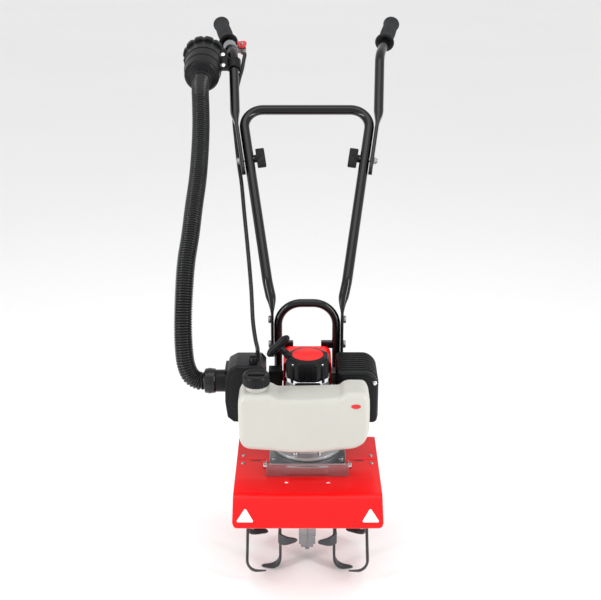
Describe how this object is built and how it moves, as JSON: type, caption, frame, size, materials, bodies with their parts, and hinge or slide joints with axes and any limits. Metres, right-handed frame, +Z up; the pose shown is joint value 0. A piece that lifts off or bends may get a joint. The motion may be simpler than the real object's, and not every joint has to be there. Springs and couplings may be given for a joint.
{
  "type": "mini tiller",
  "caption": "Walk-behind petrol mini tiller: upright engine over a worm gearbox and tine stars under a sheet fender, with a folding handle and remote air filter.",
  "frame": {"origin": "middle of the base of the whole machine's box, on the ground, measured without the two flexible lines", "axes": "+X to the operator's left, +Y back towards the operator, +Z up"},
  "size_m": [0.469, 0.8358, 0.9685],
  "materials": {
    "cast_aluminium": "as-cast, satin",
    "steel": "zinc plated or ground",
    "bronze": "machined bronze",
    "red_paint": "gloss powder coat",
    "grey_paint": "satin paint",
    "black_paint": "gloss black paint",
    "black_plastic": "moulded, fine texture",
    "tank_plastic": "natural translucent moulded plastic",
    "grip_rubber": "ribbed rubber",
    "hose_rubber": "corrugated flexible hose",
    "paper": "pleated paper",
    "red_plastic": "moulded"
  },
  "bodies": {
    "root": {"gearbox_case_left": "cast_aluminium", "gearbox_case_right": "cast_aluminium", "gearbox_end_cap": "cast_aluminium", "worm_lower_bearing": "steel", "worm_upper_bearing": "steel", "axle_bearing_left": "steel", "axle_bearing_right": "steel", "mount_plate": "grey_paint", "fender_front": "red_paint", "fender_rear": "red_paint", "clutch_housing": "cast_aluminium", "fan_housing": "cast_aluminium", "ignition_coil": "black_plastic", "crankcase": "cast_aluminium", "cylinder": "cast_aluminium", "spark_plug": "black_plastic", "cylinder_shroud": "red_paint", "muffler_cover": "black_plastic", "muffler": "steel", "carburettor": "cast_aluminium", "air_box": "black_plastic", "air_box_cover": "black_plastic", "fuel_tank": "tank_plastic", "recoil_housing": "black_plastic", "engine_hoop": "black_paint", "handle_frame": "black_paint", "intake_hose": "hose_rubber", "throttle_conduit": "hose_rubber"},
    "tines": {"tine_axle": "steel", "worm_wheel": "bronze", "tine_inner_left": "grey_paint", "tine_inner_right": "grey_paint", "tine_outer_left": "grey_paint", "tine_outer_right": "grey_paint", "tine_pin_left": "steel", "tine_pin_right": "steel"},
    "drive": {"worm_shaft": "steel", "clutch_drum": "steel"},
    "crank": {"crank_half_upper": "steel", "crank_half_lower": "steel", "clutch_hub": "steel", "flywheel": "cast_aluminium"},
    "piston_and_rod": {"piston": "cast_aluminium", "connecting_rod": "steel"},
    "reel": {"recoil_reel": "black_plastic"},
    "pull": {"starter_grip": "black_plastic"},
    "cap": {"fuel_cap": "black_plastic"},
    "choke": {"choke_knob": "black_plastic"},
    "bar_left": {"upper_bar_left": "black_paint", "grip_left": "grip_rubber"},
    "bar_right": {"upper_bar_right": "black_paint", "grip_right": "grip_rubber", "throttle_bracket": "steel", "filter_canister": "black_plastic", "filter_element": "paper"},
    "filter_cover": {"filter_lid": "black_plastic"},
    "knob_left": {"fold_knob_left": "black_plastic"},
    "knob_right": {"fold_knob_right": "black_plastic"},
    "throttle": {"throttle_lever": "red_plastic"},
    "stop": {"stop_switch": "red_plastic"}
  },
  "joints": [
    {"name": "tine_spin", "type": "hinge", "parent": "root", "child": "tines", "pos_m": [0.02711, -0.27021, 0.10047], "axis": [1, 0, 0], "continuous": true},
    {"name": "drive_spin", "type": "hinge", "parent": "root", "child": "drive", "pos_m": [0.02711, -0.23821, 0.14847], "axis": [0, 0, 1], "continuous": true},
    {"name": "crank_spin", "type": "hinge", "parent": "root", "child": "crank", "pos_m": [0.02711, -0.23821, 0.35547], "axis": [0, 0, 1], "continuous": true},
    {"name": "piston_stroke", "type": "slide", "parent": "root", "child": "piston_and_rod", "axis": [0, 1, 0], "range_m": [-0.034, 0]},
    {"name": "starter_pull", "type": "slide", "parent": "root", "child": "pull", "axis": [-0.7071, 0, 0.7071], "range_m": [0, 0.5], "stiffness_N_per_m": 15},
    {"name": "reel_spin", "type": "hinge", "parent": "root", "child": "reel", "pos_m": [0.02711, -0.23821, 0.40347], "axis": [0, 0, 1], "range_deg": [0, 1085]},
    {"name": "fuel_cap_turn", "type": "hinge", "parent": "root", "child": "cap", "pos_m": [-0.06389, -0.33671, 0.41677], "axis": [0, 0, 1], "range_deg": [0, 720]},
    {"name": "choke_turn", "type": "hinge", "parent": "root", "child": "choke", "pos_m": [-0.07389, -0.22621, 0.41047], "axis": [0, 0, 1], "range_deg": [0, 90]},
    {"name": "fold_left", "type": "hinge", "parent": "root", "child": "bar_left", "pos_m": [0.14436, 0.08502, 0.72014], "axis": [0.9888, -0.0989, -0.1115], "range_deg": [-20, 150]},
    {"name": "fold_right", "type": "hinge", "parent": "root", "child": "bar_right", "pos_m": [-0.09013, 0.08502, 0.72014], "axis": [0.9888, 0.0989, 0.1115], "range_deg": [-15, 75], "deforming": ["intake_hose", "throttle_conduit"]},
    {"name": "knob_left_turn", "type": "hinge", "parent": "root", "child": "knob_left", "pos_m": [0.14436, 0.08502, 0.72014], "axis": [0.9888, -0.0989, -0.1115], "range_deg": [0, 720]},
    {"name": "knob_right_turn", "type": "hinge", "parent": "root", "child": "knob_right", "pos_m": [-0.09013, 0.08502, 0.72014], "axis": [0.9888, 0.0989, 0.1115], "range_deg": [-720, 0]},
    {"name": "filter_lid_turn", "type": "hinge", "parent": "bar_right", "child": "filter_cover", "pos_m": [-0.18889, 0.25794, 0.8972], "axis": [0, 0.9563, 0.2924], "range_deg": [0, 45]},
    {"name": "throttle_turn", "type": "hinge", "parent": "bar_right", "child": "throttle", "pos_m": [-0.11111, 0.29406, 0.91723], "axis": [0, 0.2771, -0.9609], "range_deg": [0, 30], "stiffness_Nm_per_rad": 0.03},
    {"name": "stop_press", "type": "slide", "parent": "bar_right", "child": "stop", "axis": [0, -0.2771, 0.9609], "range_m": [0, 0.002], "stiffness_N_per_m": 200}
  ],
  "couplings": [
    {"joint": "drive_spin", "follows": "tine_spin", "ratio": -30},
    {"joint": "reel_spin", "follows": "starter_pull", "rad_per_m": 37.7}
  ]
}
